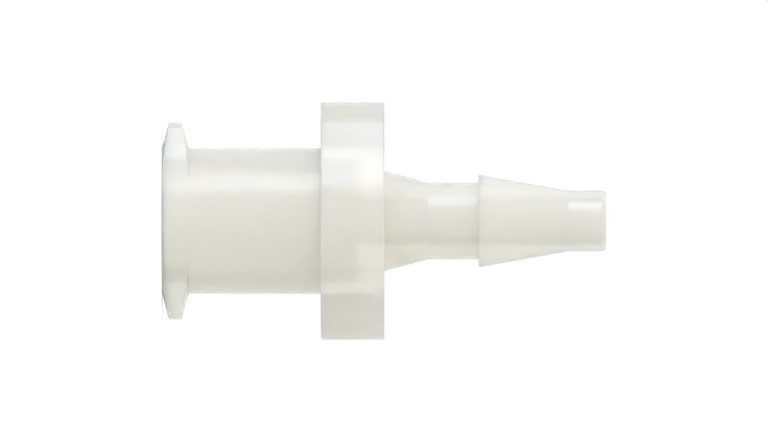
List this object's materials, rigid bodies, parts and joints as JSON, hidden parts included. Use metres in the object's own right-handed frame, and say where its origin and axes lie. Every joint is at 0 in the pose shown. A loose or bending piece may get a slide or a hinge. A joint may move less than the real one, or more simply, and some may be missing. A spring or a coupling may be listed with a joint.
{
  "type": "female luer fitting",
  "caption": "Moulded female luer fitting: a tapered socket with opposed locking lugs, a winged grip collar and a barbed hose tail, with a bore right through.",
  "frame": {"origin": "centre of the mouth face, on which the fitting stands", "axes": "+Z along the axis from the mouth to the end of the barb; the lugs and the grip wings point along X"},
  "size_m": [0.0094, 0.0068, 0.0175],
  "materials": {
    "natural_plastic": "uncoloured translucent moulding, satin"
  },
  "bodies": {
    "root": {"luer_fitting": "natural_plastic"}
  },
  "joints": []
}
